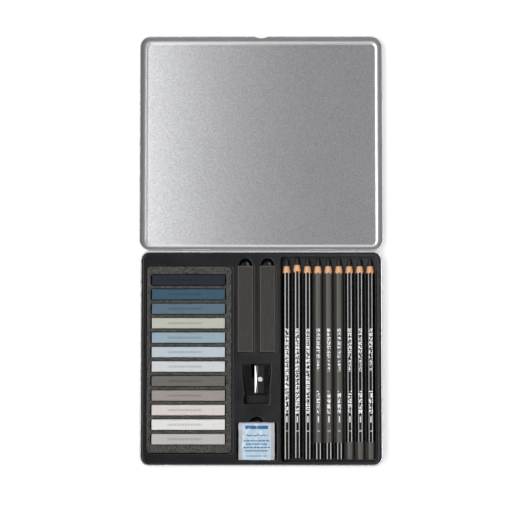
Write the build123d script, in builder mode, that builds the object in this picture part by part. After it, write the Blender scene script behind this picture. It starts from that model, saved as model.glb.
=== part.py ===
from build123d import *
import math
import os

# A flat hinged metal tin, opened flat, with a black moulded tray that holds drawing materials:
# twelve square pastel sticks in a foam insert, two charcoal blocks, a sharpener, a kneadable
# eraser in its film, and nine hexagonal pencils.
# X runs along the hinge, +Y from the base to the opened lid, +Z up.
# The origin is under the middle of the opened tin, on the table.

os.makedirs("parts", exist_ok=True)

# Tin, both halves
tin_sheet = 0.35
closed_height = 18.0

# Base of the tin, with its rim rolled outwards; its width and depth set the sizes of its contents
base_width = 212.2
base_depth = 187.6
base_height = 14.0
base_roll = 1.6
base_curl = 325.0
base_corner = 8.5
base_bottom_round = 2.5

# Lid of the tin, with a round hem along its edge
lid_gap = 0.35
lid_hem = 1.0
lid_edge_round = 6.0
rim_stub = 1.5
pip_radius = 5.5
pip_reach = 0.30
pip_spacing = 137.4
side_pip_from_hinge = 28.6
pip_depth = 2.6
thumb_dent_radius = 10.0
thumb_dent_reach = 1.3
thumb_dent_length = 4.4

# Hinge: two tongues of the base curl round the hem of the lid
tongue_width = 21.0
tongue_spacing = 109.4
tongue_wrap = 285.0
hinge_running_gap = 0.05
hinge_slot_gap = 0.4
hinge_slot_reach = 0.7

# Tray, formed from one sheet; the foot of its skirt turns in over the round edge of the floor
tray_sheet = 0.7
tray_gap = 0.3
tray_top = 13.4
tray_edge_round = 1.2
tray_foot_turn = 2.5
pocket_edge_round = 0.85
pocket_corner = 2.5
notch_floor_round = 4.0

# Foam insert and its pastel sticks; places are measured from the rims of the base
foam_from_left = 5.7
foam_from_back = 13.2
foam_from_front = 11.2
foam_to_column = 21.5
foam_thickness = 9.6
foam_corner = 3.5
foam_fit = 0.3
foam_floor = 3.0
foam_end_margin = 7.29
pastel_count = 12
pastel_side = 9.2
pastel_edge = 0.5
pastel_from_foam_left = 4.7
pastel_from_foam_right = 6.1
slot_end_gap = 1.0
slot_side_gap = 0.3

# Middle column: two blocks, the sharpener and the eraser
column_to_pencils = 21.0
block_width = 13.8
block_thickness = 7.0
block_edge = 0.6
block_pitch = 19.3
block_from_back = 13.0
block_fit = 0.45
block_floor = 5.6
block_notch_radius = 5.7
block_notch_reach = 6.0

sharpener_top_width = 23.8
sharpener_end_width = 17.6
sharpener_length = 28.0
sharpener_from_block = 10.9
sharpener_fit = 0.5
sharpener_floor = 2.6
sharpener_corner = 1.6
sharpener_gap_length = 7.8
sharpener_gap_overlap = 1.2
sharpener_gap_width = 22.4
sharpener_bow = 0.9
hole_mouth_radius = 4.1
hole_end_radius = 0.8
hole_depth = 21.0
hole_axis_height = 5.0
hole_left_of_middle = 1.3
deck_width = 14.0
deck_shoulder = 0.9
groove_count = 4
groove_pitch = 1.15
groove_width = 0.5
groove_depth = 0.4
groove_length = 21.0
groove_edge_gap = 0.8
chip_slot_width = 3.2
chip_slot_length = 12.0
blade_length = 24.0
blade_width = 8.0
blade_thickness = 0.55
blade_bevel = 2.6
blade_edge_thickness = 0.08
blade_edge_left_of_middle = 1.5
blade_from_mouth = 1.2
screw_from_mouth = 13.0
screw_right_of_middle = 3.2
screw_head = 4.4
screw_head_height = 0.9
screw_head_round = 0.45
screw_shank = 2.2
screw_depth = 3.2
screw_slot = 0.7
screw_slot_depth = 0.4
screw_slot_turn = 40.0

eraser_width = 31.6
eraser_length = 32.6
eraser_thickness = 8.6
eraser_round = 2.4
eraser_from_sharpener = 22.4
eraser_from_front = 5.4
eraser_fit_side = 1.8
eraser_fit_end = 0.6
eraser_floor = 4.2
eraser_notch_radius = 6.6
eraser_notch_reach = 4.4
wrapper_film = 0.25
wrapper_gap = 0.1
wrapper_overhang = 0.3

# Pencils, in one long pocket
pencil_pocket_width = 84.2
pencil_pocket_from_right = 5.0
pencil_pocket_from_back = 5.2
pencil_pocket_from_front = 3.8
pencil_pocket_corner = 3.0
pencil_count = 9
pencil_flats = 6.8
pencil_edge_round = 0.7
pencil_side_room = 1.5
pencil_back_room = 1.7
pencil_front_room = 1.9
pencil_floor = 4.6
lead_diameter = 5.0
lead_tip_diameter = 2.7
lead_tip_edge = 0.45
point_half_angle = 10.0
dip_thickness = 0.8
pushed_pencil = 2
pushed_by = 1.2

# Places worked out from the sizes
hinge_z = closed_height / 2
hem_radius = lid_hem / 2
hinge_behind_base = lid_gap + hem_radius
lid_overhang = lid_gap + lid_hem
lid_width = base_width + 2 * lid_overhang
lid_depth = base_depth + 2 * lid_overhang
lid_corner = base_corner + lid_overhang
base_reach = hinge_behind_base + base_depth
lid_reach = lid_depth - hem_radius
hinge_y = (base_reach - lid_reach) / 2
base_back = hinge_y - hinge_behind_base
base_mid_y = base_back - base_depth / 2
lid_back = hinge_y - hem_radius
lid_mid_y = lid_back + lid_depth / 2
base_wall_out = base_roll - tin_sheet
lid_wall_out = lid_hem - tin_sheet
base_front = base_back - base_depth
tray_bottom = tin_sheet

# Pencils fill their pocket, which lies along the right side
pocket_right = base_width / 2 - pencil_pocket_from_right
pocket_left = pocket_right - pencil_pocket_width
pocket_mid_x = (pocket_left + pocket_right) / 2
pocket_back = base_back - pencil_pocket_from_back
pocket_front = base_front + pencil_pocket_from_front
pocket_mid_y = (pocket_back + pocket_front) / 2
pencil_pocket_length = pocket_back - pocket_front
pencil_length = pencil_pocket_length - pencil_back_room - pencil_front_room
pencil_corners = pencil_flats / math.cos(math.radians(30))
pencil_row = pencil_pocket_width - 2 * pencil_side_room
pencil_pitch = (pencil_row - pencil_corners) / (pencil_count - 1)

# The middle column stands left of the pencils; the blocks take the length that is left
column_mid_x = pocket_left - column_to_pencils
block_back_end = base_back - block_from_back
eraser_mid_y = base_front + eraser_from_front + eraser_length / 2
sharpener_end_y = eraser_mid_y + eraser_length / 2 + eraser_from_sharpener
sharpener_mid_y = sharpener_end_y + sharpener_length / 2
mouth_y = sharpener_mid_y + sharpener_length / 2
block_length = block_back_end - mouth_y - sharpener_from_block
block_mid_y = block_back_end - block_length / 2

# The foam fills the left side, and the sticks share its length
foam_left = foam_from_left - base_width / 2
foam_width = column_mid_x - foam_to_column - foam_left
foam_length = base_depth - foam_from_back - foam_from_front
foam_mid_x = foam_left + foam_width / 2
foam_mid_y = base_back - foam_from_back - foam_length / 2
pastel_length = foam_width - pastel_from_foam_left - pastel_from_foam_right
pastel_mid_x = foam_left + pastel_from_foam_left + pastel_length / 2
slot_length = pastel_length + 2 * slot_end_gap
slot_depth = pastel_side + 2 * slot_side_gap
pastel_pitch = (foam_length - 2 * foam_end_margin - slot_depth) / (pastel_count - 1)


def pan_block(width, depth, corner, bottom_round, top, mid_y):
    """The outside of a pressed pan as a full block, with a rounded edge round its floor."""
    with BuildPart() as block:
        with BuildSketch():
            with Locations((0, mid_y)):
                RectangleRounded(width, depth, corner)
        extrude(amount=top)
        fillet(block.faces().sort_by(Axis.Z)[0].edges(), bottom_round)
    return block.part


def pressed_pan(width, depth, corner, bottom_round, top, mid_y):
    """An open pan pressed from sheet."""
    with BuildPart() as pan:
        add(pan_block(width, depth, corner, bottom_round, top, mid_y))
        offset(amount=-tin_sheet, openings=pan.faces().sort_by(Axis.Z)[-1])
    return pan.part


def rim_loop(width, depth, corner, roll, mid_y, height):
    """The closed line that the middle of a rim follows, and the plane across its start."""
    with BuildSketch(Plane.XY.offset(height)) as loop:
        with Locations((0, mid_y)):
            RectangleRounded(width - roll, depth - roll, corner - roll / 2)
    path = loop.sketch.wires()[0]
    start = path @ 0
    along = path % 0
    inwards = Vector(0, 0, 1).cross(along)
    if inwards.dot(Vector(0, mid_y, height) - start) < 0:
        along = along * -1
        inwards = inwards * -1
    return path, Plane(origin=start, x_dir=inwards, z_dir=along)


def rolled_rim(width, depth, corner, mid_y, height):
    """The top of a wall whose edge is curled outwards into an open tube."""
    path, across = rim_loop(width, depth, corner, base_roll, mid_y, height)
    outer = base_roll / 2
    inner = outer - tin_sheet
    with BuildPart() as rim:
        with BuildSketch(across):
            with BuildLine():
                outside = CenterArc((0, 0), outer, 0, base_curl)
                inside = CenterArc((0, 0), inner, 0, base_curl)
                Line(outside @ 1, inside @ 1)
                Polyline(outside @ 0, (outer, -rim_stub), (inner, -rim_stub), inside @ 0)
            make_face()
        sweep(path=path)
    return rim.part


def hemmed_rim(width, depth, corner, mid_y, height):
    """The top of a wall whose edge is folded outwards into a round hem."""
    path, across = rim_loop(width, depth, corner, lid_hem, mid_y, height)
    wall_at = hem_radius - tin_sheet
    meets = math.degrees(math.acos(wall_at / hem_radius))
    with BuildPart() as rim:
        with BuildSketch(across):
            with BuildLine():
                hem = CenterArc((0, 0), hem_radius, 0, 360 - meets)
                Polyline(hem @ 0, (hem_radius, -rim_stub), (wall_at, -rim_stub), hem @ 1)
            make_face()
        sweep(path=path)
    return rim.part


# Base of the tin
base_rim_mid = base_height - base_roll / 2
base_pan = pressed_pan(
    base_width - 2 * base_wall_out,
    base_depth - 2 * base_wall_out,
    base_corner - base_wall_out,
    base_bottom_round,
    base_rim_mid - rim_stub,
    base_mid_y,
)
base_rim = rolled_rim(base_width, base_depth, base_corner, base_mid_y, base_rim_mid)

# Each tongue leaves the back wall under the hem of the lid, and curls round it
tongue_inner = hem_radius + hinge_running_gap
tongue_outer = tongue_inner + tin_sheet
back_wall_outside = base_back - base_wall_out
with BuildPart() as tin_base:
    add(base_pan)
    add(base_rim)
    for side in (-1, 1):
        tongue_plane = Plane(
            origin=(side * tongue_spacing / 2 - tongue_width / 2, hinge_y, hinge_z),
            x_dir=(0, 1, 0),
            z_dir=(1, 0, 0),
        )
        with BuildSketch(tongue_plane):
            with BuildLine():
                under = CenterArc((0, 0), tongue_outer, -90, tongue_wrap)
                over = CenterArc((0, 0), tongue_inner, -90, tongue_wrap)
                Line(under @ 1, over @ 1)
                Polyline(
                    under @ 0,
                    (back_wall_outside - hinge_y, -tongue_outer),
                    (back_wall_outside - hinge_y, -tongue_inner),
                    over @ 0,
                )
            make_face()
        extrude(amount=tongue_width)
tin_base.part.label = "tin_base"
export_step(tin_base.part, "parts/tin_base.step")

# Lid of the tin, lying opened with its outside on the table
lid_pan_size = (
    lid_width - 2 * lid_wall_out,
    lid_depth - 2 * lid_wall_out,
    lid_corner - lid_wall_out,
    lid_edge_round,
)
lid_pan = pressed_pan(*lid_pan_size, hinge_z - rim_stub, lid_mid_y)
lid_rim = hemmed_rim(lid_width, lid_depth, lid_corner, lid_mid_y, hinge_z)
lid_block = pan_block(*lid_pan_size, hinge_z + hem_radius, lid_mid_y)

# Pips pressed in from outside, two at the front and one on each side, centre the lid on the rim
front_inside = lid_back + lid_depth - lid_hem
side_inside = lid_width / 2 - lid_hem
pip_out = pip_radius - pip_reach
pip_z = hinge_z - pip_depth
pips = [
    (-pip_spacing / 2, front_inside + pip_out, pip_z),
    (pip_spacing / 2, front_inside + pip_out, pip_z),
    (-side_inside - pip_out, hinge_y + side_pip_from_hinge, pip_z),
    (side_inside + pip_out, hinge_y + side_pip_from_hinge, pip_z),
]

# The thumb dent at the middle of the front edge is a cone, deepest and widest at the hem
dent_low_radius = thumb_dent_radius - thumb_dent_reach
dent_at = (0, front_inside + dent_low_radius, hinge_z - thumb_dent_length)
dent_height = thumb_dent_length + hem_radius
from_below = (Align.CENTER, Align.CENTER, Align.MIN)
with BuildPart() as pressed_in:
    with Locations(*pips):
        Sphere(pip_radius)
    with Locations(dent_at):
        Cone(dent_low_radius, thumb_dent_radius, dent_height, align=from_below)
    add(lid_block, mode=Mode.INTERSECT)

slot_width = tongue_width + 2 * hinge_slot_gap
slot_height = tongue_outer + hinge_slot_gap
lid_back_inside = lid_back + lid_hem
with BuildPart() as tin_lid:
    add(lid_pan)
    add(lid_rim)
    add(pressed_in.part)
    with Locations(*pips):
        Sphere(pip_radius - tin_sheet, mode=Mode.SUBTRACT)
    with Locations(dent_at):
        Cone(
            dent_low_radius - tin_sheet,
            thumb_dent_radius - tin_sheet,
            dent_height,
            align=from_below,
            mode=Mode.SUBTRACT,
        )
    # Slots in the back wall let the tongues turn round the hem
    with BuildSketch(Plane.XY.offset(hinge_z - slot_height)):
        with Locations((0, lid_back_inside)):
            with GridLocations(tongue_spacing, 0, 2, 1):
                Rectangle(slot_width, 2 * hinge_slot_reach)
    extrude(amount=slot_height, mode=Mode.SUBTRACT)
    # The hem runs on through the slots as a round pin
    for side in (-1, 1):
        with BuildSketch(Plane.YZ.offset(side * tongue_spacing / 2 - slot_width / 2)):
            with Locations((hinge_y, hinge_z)):
                Circle(hem_radius)
        extrude(amount=slot_width)
tin_lid.part.label = "tin_lid"
export_step(tin_lid.part, "parts/tin_lid.step")


# Tray, formed from one sheet: a skirt that stands on the tin's floor, and sunk pockets
tray_width = base_width - 2 * base_roll - 2 * tray_gap
tray_depth = base_depth - 2 * base_roll - 2 * tray_gap
tray_corner = base_corner - base_roll - tray_gap
foam_pocket_width = foam_width + 2 * foam_fit
foam_pocket_length = foam_length + 2 * foam_fit
block_pocket_width = block_width + 2 * block_fit
block_pocket_length = block_length + 2 * block_fit
eraser_pocket_width = eraser_width + 2 * eraser_fit_side
eraser_pocket_length = eraser_length + 2 * eraser_fit_end
block_pocket_back = block_mid_y + block_pocket_length / 2
block_notch_y = block_pocket_back + block_notch_reach - block_notch_radius
eraser_pocket_back = eraser_mid_y + eraser_pocket_length / 2
eraser_notch_y = eraser_pocket_back + eraser_notch_reach - eraser_notch_radius
gap_mid_y = sharpener_end_y + sharpener_gap_overlap - sharpener_gap_length / 2
block_xs = [column_mid_x - block_pitch / 2, column_mid_x + block_pitch / 2]


def sharpener_outline(grow):
    """The sharpener seen from above: wide at the mouth, with bowed sides; grow widens it all round."""
    wide = sharpener_top_width / 2 + grow
    narrow = sharpener_end_width / 2 + grow
    mouth = mouth_y + grow
    end = sharpener_end_y - grow
    bow_x = (wide + narrow) / 2 + sharpener_bow
    with BuildSketch() as outline:
        with BuildLine():
            right = ThreePointArc(
                (column_mid_x + wide, mouth),
                (column_mid_x + bow_x, sharpener_mid_y),
                (column_mid_x + narrow, end),
            )
            left = ThreePointArc(
                (column_mid_x - narrow, end),
                (column_mid_x - bow_x, sharpener_mid_y),
                (column_mid_x - wide, mouth),
            )
            Line(right @ 1, left @ 0)
            Line(left @ 1, right @ 0)
        make_face()
        fillet(outline.vertices(), sharpener_corner)
    return outline.sketch


def pocket_outline(name, grow=0.0, notched=True):
    """The outline of one pocket of the tray with its finger notches; grow widens it all round."""
    with BuildSketch() as outline:
        if name == "foam":
            with Locations((foam_mid_x, foam_mid_y)):
                RectangleRounded(
                    foam_pocket_width + 2 * grow,
                    foam_pocket_length + 2 * grow,
                    foam_corner + foam_fit + grow,
                )
        if name == "blocks":
            with Locations(*[(x, block_mid_y) for x in block_xs]):
                RectangleRounded(
                    block_pocket_width + 2 * grow,
                    block_pocket_length + 2 * grow,
                    block_edge + block_fit + grow,
                )
            if notched:
                with Locations(*[(x, block_notch_y) for x in block_xs]):
                    Circle(block_notch_radius + grow)
        if name == "sharpener":
            add(sharpener_outline(sharpener_fit + grow))
            with Locations((column_mid_x, gap_mid_y)):
                Rectangle(sharpener_gap_width + 2 * grow, sharpener_gap_length + 2 * grow)
            fillet(outline.vertices().group_by(Axis.Y)[0], sharpener_corner + grow)
        if name == "eraser":
            with Locations((column_mid_x, eraser_mid_y)):
                RectangleRounded(
                    eraser_pocket_width + 2 * grow,
                    eraser_pocket_length + 2 * grow,
                    pocket_corner + grow,
                )
            if notched:
                with Locations((column_mid_x, eraser_notch_y)):
                    Circle(eraser_notch_radius + grow)
        if name == "pencils":
            with Locations((pocket_mid_x, pocket_mid_y)):
                RectangleRounded(
                    pencil_pocket_width + 2 * grow,
                    pencil_pocket_length + 2 * grow,
                    pencil_pocket_corner + grow,
                )
    return outline.sketch


pocket_floors = {
    "foam": foam_floor,
    "blocks": block_floor,
    "sharpener": sharpener_floor,
    "eraser": eraser_floor,
    "pencils": pencil_floor,
}


def notch_floor(name, x, y, radius):
    """The rounded floor of a finger notch, outside the pocket that it opens into."""
    floor = pocket_floors[name]
    with BuildPart() as rounded:
        with BuildSketch(Plane(origin=(x, y, floor), x_dir=(1, 0, 0), z_dir=(0, -1, 0))):
            with Locations((radius - notch_floor_round / 2, notch_floor_round / 2)):
                Rectangle(notch_floor_round, notch_floor_round)
            with Locations((radius - notch_floor_round, notch_floor_round)):
                Circle(notch_floor_round, mode=Mode.SUBTRACT)
        revolve(axis=Axis((x, y, floor), (0, 0, 1)))
        with BuildSketch(Plane.XY.offset(floor)):
            add(pocket_outline(name, notched=False))
        extrude(amount=notch_floor_round, mode=Mode.SUBTRACT)
    return rounded.part


# Under the tray: all that lies inside its skirt, apart from the pockets and their walls
foot_inset = tray_foot_turn + tray_sheet * math.sqrt(2)
foot_rise = foot_inset - tray_sheet
with BuildPart() as under_tray:
    with BuildSketch(Plane.XY.offset(tray_bottom)):
        with Locations((0, base_mid_y)):
            RectangleRounded(
                tray_width - 2 * foot_inset, tray_depth - 2 * foot_inset, tray_corner - foot_inset
            )
    extrude(amount=foot_rise, taper=-45)
    with BuildSketch(Plane.XY.offset(tray_bottom + foot_rise)):
        with Locations((0, base_mid_y)):
            RectangleRounded(
                tray_width - 2 * tray_sheet, tray_depth - 2 * tray_sheet, tray_corner - tray_sheet
            )
    extrude(amount=tray_top - tray_sheet - tray_bottom - foot_rise)
    for name, floor in pocket_floors.items():
        with BuildSketch(Plane.XY.offset(floor - tray_sheet)):
            add(pocket_outline(name, tray_sheet))
        extrude(amount=tray_top - floor, mode=Mode.SUBTRACT)

with BuildPart() as tray:
    with BuildSketch(Plane.XY.offset(tray_bottom)):
        with Locations((0, base_mid_y)):
            RectangleRounded(tray_width, tray_depth, tray_corner)
    extrude(amount=tray_top - tray_bottom)
    fillet(tray.faces().sort_by(Axis.Z)[-1].edges(), tray_edge_round)
    chamfer(tray.faces().sort_by(Axis.Z)[0].edges(), tray_foot_turn)
    for name, floor in pocket_floors.items():
        with BuildSketch(Plane.XY.offset(floor)):
            add(pocket_outline(name))
        extrude(amount=tray_top - floor, mode=Mode.SUBTRACT)
    for rim in tray.faces().sort_by(Axis.Z)[-1].inner_wires():
        fillet(rim.edges(), pocket_edge_round)
    add(under_tray.part, mode=Mode.SUBTRACT)
    for block_x in block_xs:
        add(notch_floor("blocks", block_x, block_notch_y, block_notch_radius))
    add(notch_floor("eraser", column_mid_x, eraser_notch_y, eraser_notch_radius))
tray.part.label = "tray"
export_step(tray.part, "parts/tray.step")

# Foam insert, cut through for the sticks, which lie on the floor of the tray's pocket
with BuildPart() as foam_insert:
    with BuildSketch(Plane.XY.offset(foam_floor)):
        with Locations((foam_mid_x, foam_mid_y)):
            RectangleRounded(foam_width, foam_length, foam_corner)
        with Locations((pastel_mid_x, foam_mid_y)):
            with GridLocations(0, pastel_pitch, 1, pastel_count):
                Rectangle(slot_length, slot_depth, mode=Mode.SUBTRACT)
    extrude(amount=foam_thickness)
foam_insert.part.label = "foam_insert"
export_step(foam_insert.part, "parts/foam_insert.step")

# Pastel sticks, numbered from the hinge side
for number in range(1, pastel_count + 1):
    stick_y = foam_mid_y + pastel_pitch * ((pastel_count + 1) / 2 - number)
    with BuildPart() as pastel:
        with BuildSketch(Plane.XY.offset(foam_floor)):
            with Locations((pastel_mid_x, stick_y)):
                Rectangle(pastel_length, pastel_side)
        extrude(amount=pastel_side)
        fillet(pastel.edges().filter_by(Axis.X), pastel_edge)
    pastel.part.label = f"pastel_{number:02d}"
    export_step(pastel.part, f"parts/pastel_{number:02d}.step")

# Charcoal blocks
for side_name, block_x in zip(("left", "right"), block_xs):
    with BuildPart() as block:
        with BuildSketch(Plane.XY.offset(block_floor)):
            with Locations((block_x, block_mid_y)):
                Rectangle(block_width, block_length)
        extrude(amount=block_thickness)
        fillet(block.edges(), block_edge)
    block.part.label = f"charcoal_block_{side_name}"
    export_step(block.part, f"parts/charcoal_block_{side_name}.step")

# Sharpener: its deck slopes with the cone of the hole, so that the blade lies along the cone
hole_axis_z = sharpener_floor + hole_axis_height
deck_top_z = hole_axis_z + hole_mouth_radius
cone_slope = (hole_mouth_radius - hole_end_radius) / hole_depth
deck_plane = Plane(
    origin=(column_mid_x, mouth_y, deck_top_z), x_dir=(1, 0, 0), z_dir=(0, -cone_slope, 1)
)
down_deck = deck_plane.y_dir * -1
groove_mid_x = deck_width / 2 + groove_edge_gap + (groove_count - 1) * groove_pitch / 2
with BuildPart() as sharpener_body:
    with BuildSketch(Plane.XY.offset(sharpener_floor)):
        add(sharpener_outline(0))
    extrude(amount=deck_top_z + deck_shoulder + sharpener_length * cone_slope - sharpener_floor)
    # Everything above the sloping shoulders comes off, then the deck between them
    with BuildSketch(deck_plane.offset(deck_shoulder)):
        with Locations((0, -sharpener_length / 2)):
            Rectangle(2 * sharpener_top_width, 2 * sharpener_length)
    extrude(amount=sharpener_length, mode=Mode.SUBTRACT)
    with BuildSketch(deck_plane):
        with Locations((0, -sharpener_length / 2)):
            Rectangle(deck_width, 2 * sharpener_length)
    extrude(amount=sharpener_length, mode=Mode.SUBTRACT)
    with BuildSketch(deck_plane.offset(deck_shoulder)):
        for side in (-1, 1):
            with Locations((side * groove_mid_x, -sharpener_length / 2)):
                with GridLocations(groove_pitch, 0, groove_count, 1):
                    Rectangle(groove_width, groove_length)
    extrude(amount=-groove_depth, mode=Mode.SUBTRACT)
    with Locations(
        Plane(
            origin=(column_mid_x - hole_left_of_middle, mouth_y, hole_axis_z),
            z_dir=(0, -1, 0),
        )
    ):
        Cone(hole_mouth_radius, hole_end_radius, hole_depth, align=from_below, mode=Mode.SUBTRACT)
    with BuildSketch(deck_plane):
        with Locations((-blade_edge_left_of_middle, 0)):
            Rectangle(
                chip_slot_width, 2 * chip_slot_length, align=(Align.MAX, Align.CENTER)
            )
    extrude(amount=-hole_mouth_radius / 2, mode=Mode.SUBTRACT)
    with BuildSketch(deck_plane):
        with Locations((screw_right_of_middle, -screw_from_mouth)):
            Circle(screw_shank / 2)
    extrude(amount=-screw_depth, mode=Mode.SUBTRACT)
sharpener_body.part.label = "sharpener_body"
export_step(sharpener_body.part, "parts/sharpener_body.step")

blade_left = -blade_edge_left_of_middle
blade_right = blade_left + blade_width
blade_start = Plane(
    origin=deck_plane.origin + down_deck * blade_from_mouth, x_dir=(1, 0, 0), z_dir=down_deck
)
with BuildPart() as sharpener_blade:
    with BuildSketch(blade_start):
        with BuildLine():
            Polyline(
                (blade_left, 0),
                (blade_right, 0),
                (blade_right, blade_thickness),
                (blade_left + blade_bevel, blade_thickness),
                (blade_left, blade_edge_thickness),
                close=True,
            )
        make_face()
    extrude(amount=blade_length)
    with BuildSketch(deck_plane):
        with Locations((screw_right_of_middle, -screw_from_mouth)):
            Circle(screw_shank / 2)
    extrude(amount=2 * blade_thickness, mode=Mode.SUBTRACT)
sharpener_blade.part.label = "sharpener_blade"
export_step(sharpener_blade.part, "parts/sharpener_blade.step")

with BuildPart() as sharpener_screw:
    with BuildSketch(deck_plane.offset(blade_thickness)):
        with Locations((screw_right_of_middle, -screw_from_mouth)):
            Circle(screw_head / 2)
    extrude(amount=screw_head_height)
    fillet(sharpener_screw.edges().sort_by(Axis((0, 0, 0), deck_plane.z_dir))[-1], screw_head_round)
    with BuildSketch(deck_plane.offset(-screw_depth)):
        with Locations((screw_right_of_middle, -screw_from_mouth)):
            Circle(screw_shank / 2)
    extrude(amount=screw_depth + blade_thickness)
    with BuildSketch(deck_plane.offset(blade_thickness + screw_head_height)):
        with Locations((screw_right_of_middle, -screw_from_mouth)):
            Rectangle(screw_slot, 2 * screw_head, rotation=screw_slot_turn)
    extrude(amount=-screw_slot_depth, mode=Mode.SUBTRACT)
sharpener_screw.part.label = "sharpener_screw"
export_step(sharpener_screw.part, "parts/sharpener_screw.step")

# Kneadable eraser: a soft block inside a sleeve of thin film
putty_floor = eraser_floor + wrapper_film + wrapper_gap
with BuildPart() as kneadable_eraser:
    with BuildSketch(Plane.XY.offset(putty_floor)):
        with Locations((column_mid_x, eraser_mid_y)):
            Rectangle(eraser_width, eraser_length)
    extrude(amount=eraser_thickness)
    fillet(kneadable_eraser.edges(), eraser_round)
kneadable_eraser.part.label = "kneadable_eraser"
export_step(kneadable_eraser.part, "parts/kneadable_eraser.step")

wrapper_width = eraser_width + 2 * wrapper_overhang
with BuildPart() as eraser_wrapper:
    with BuildSketch(Plane.YZ.offset(column_mid_x - wrapper_width / 2)):
        with Locations((eraser_mid_y, putty_floor + eraser_thickness / 2)):
            RectangleRounded(
                eraser_length + 2 * (wrapper_gap + wrapper_film),
                eraser_thickness + 2 * (wrapper_gap + wrapper_film),
                eraser_round + wrapper_gap + wrapper_film,
            )
            RectangleRounded(
                eraser_length + 2 * wrapper_gap,
                eraser_thickness + 2 * wrapper_gap,
                eraser_round + wrapper_gap,
                mode=Mode.SUBTRACT,
            )
    extrude(amount=wrapper_width)
eraser_wrapper.part.label = "eraser_wrapper"
export_step(eraser_wrapper.part, "parts/eraser_wrapper.step")

# Pencils, numbered from the left, points towards the hinge
lead_radius = lead_diameter / 2
point_tip_radius = lead_tip_diameter / 2
cutter_radius = pencil_flats
cutter_length = (cutter_radius - point_tip_radius) / math.tan(math.radians(point_half_angle))
for number in range(1, pencil_count + 1):
    pencil_x = pocket_mid_x + pencil_pitch * (number - (pencil_count + 1) / 2)
    pencil_z = pencil_floor + pencil_flats / 2
    tip_y = pocket_back - pencil_back_room + (pushed_by if number == pushed_pencil else 0)
    tip_plane = Plane(origin=(pencil_x, tip_y, pencil_z), x_dir=(1, 0, 0), z_dir=(0, -1, 0))
    side_plane = Plane(origin=(pencil_x, tip_y, pencil_z), x_dir=(1, 0, 0), z_dir=(0, 0, 1))
    with BuildSketch(side_plane) as off_the_point:
        with BuildLine():
            Polyline(
                (point_tip_radius, 0),
                (cutter_radius, 0),
                (cutter_radius, -cutter_length),
                close=True,
            )
        make_face()
    pencil_axis = Axis((pencil_x, tip_y, pencil_z), (0, 1, 0))

    with BuildPart() as casing:
        with BuildSketch(tip_plane):
            RegularPolygon(pencil_flats / 2, 6, major_radius=False)
        extrude(amount=pencil_length)
        fillet(casing.edges().filter_by(Axis.Y), pencil_edge_round)
        with BuildSketch(tip_plane):
            Circle(lead_radius)
        extrude(amount=pencil_length - dip_thickness, mode=Mode.SUBTRACT)
        add(off_the_point.sketch)
        revolve(axis=pencil_axis, mode=Mode.SUBTRACT)
    casing.part.label = f"pencil_{number}_casing"
    export_step(casing.part, f"parts/pencil_{number}_casing.step")

    with BuildPart() as lead:
        with BuildSketch(tip_plane):
            Circle(lead_radius)
        extrude(amount=pencil_length - dip_thickness)
        add(off_the_point.sketch)
        revolve(axis=pencil_axis, mode=Mode.SUBTRACT)
        chamfer(lead.faces().sort_by(Axis.Y)[-1].edges(), lead_tip_edge)
    lead.part.label = f"pencil_{number}_lead"
    export_step(lead.part, f"parts/pencil_{number}_lead.step")
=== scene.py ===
# %% [markdown]
# # A drawing set in a hinged tin
# The object is a flat metal tin that lies opened flat. A formed black tray in its base holds the
# drawing materials.
# The CAD model has the right sizes and places, so it is loaded first and stays as it is.
# This lesson adds what the CAD lacks: the light, the finishes, and the soft and worn pieces.

# %% Load the frame
import math
import random

import bpy
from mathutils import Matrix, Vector


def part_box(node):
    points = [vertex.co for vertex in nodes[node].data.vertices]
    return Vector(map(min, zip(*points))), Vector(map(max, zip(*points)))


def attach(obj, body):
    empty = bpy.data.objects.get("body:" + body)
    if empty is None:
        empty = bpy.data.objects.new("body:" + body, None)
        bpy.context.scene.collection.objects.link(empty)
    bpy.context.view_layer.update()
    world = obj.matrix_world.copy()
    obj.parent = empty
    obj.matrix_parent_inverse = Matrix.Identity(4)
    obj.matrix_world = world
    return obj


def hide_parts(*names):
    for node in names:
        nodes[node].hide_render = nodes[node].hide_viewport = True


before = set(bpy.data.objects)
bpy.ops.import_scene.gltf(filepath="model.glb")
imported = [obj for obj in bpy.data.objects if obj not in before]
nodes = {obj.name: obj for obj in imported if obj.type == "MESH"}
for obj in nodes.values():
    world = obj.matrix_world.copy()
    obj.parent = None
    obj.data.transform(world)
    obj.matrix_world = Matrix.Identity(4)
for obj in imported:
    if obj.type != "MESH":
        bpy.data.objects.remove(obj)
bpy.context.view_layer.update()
millimetre = 0.001


# %% [markdown]
# ## The camera
# The photograph looks almost straight down. A camera turned 3 degrees from the vertical, a little
# over a metre up, gives the same slight narrowing towards the far edge of the lid.
# A long lens keeps the walls of the pockets short in the picture.

# %% Camera
camera_distance = 1.19
camera_elevation = 87.2
picture_middle = Vector((-0.0046, -0.0059, 0.011))
millimetres_per_pixel = 0.8775
picture_pixels = 512
sensor_width = 36.0

camera_data = bpy.data.cameras.new("camera")
camera_data.sensor_width = sensor_width
pixels_at_distance = picture_pixels * millimetres_per_pixel * millimetre
camera_data.lens = sensor_width * camera_distance / pixels_at_distance
camera_data.clip_end = 10.0
camera = bpy.data.objects.new("camera", camera_data)
bpy.context.scene.collection.objects.link(camera)
lean = math.radians(90.0 - camera_elevation)
camera.rotation_euler = (lean, 0.0, 0.0)
looking = Vector((0.0, math.sin(lean), -math.cos(lean)))
camera.location = picture_middle - looking * camera_distance
bpy.context.scene.camera = camera
bpy.context.scene.view_settings.view_transform = "Standard"
print("lens", round(camera_data.lens, 1), "mm")

# %% [markdown]
# ## The studio
# The photograph shows the left of the lid bright and its right dark, and the far rim bright
# too. That needs a strong soft light on the left, weaker wide ones in front and behind, and a
# narrow one on the right, which draws the second bright line along each pencil. The room around
# them is pale, but it is dark overhead, where the camera hangs, so black lacquer stays black. Seen
# straight, the room is a white backdrop.

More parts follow.
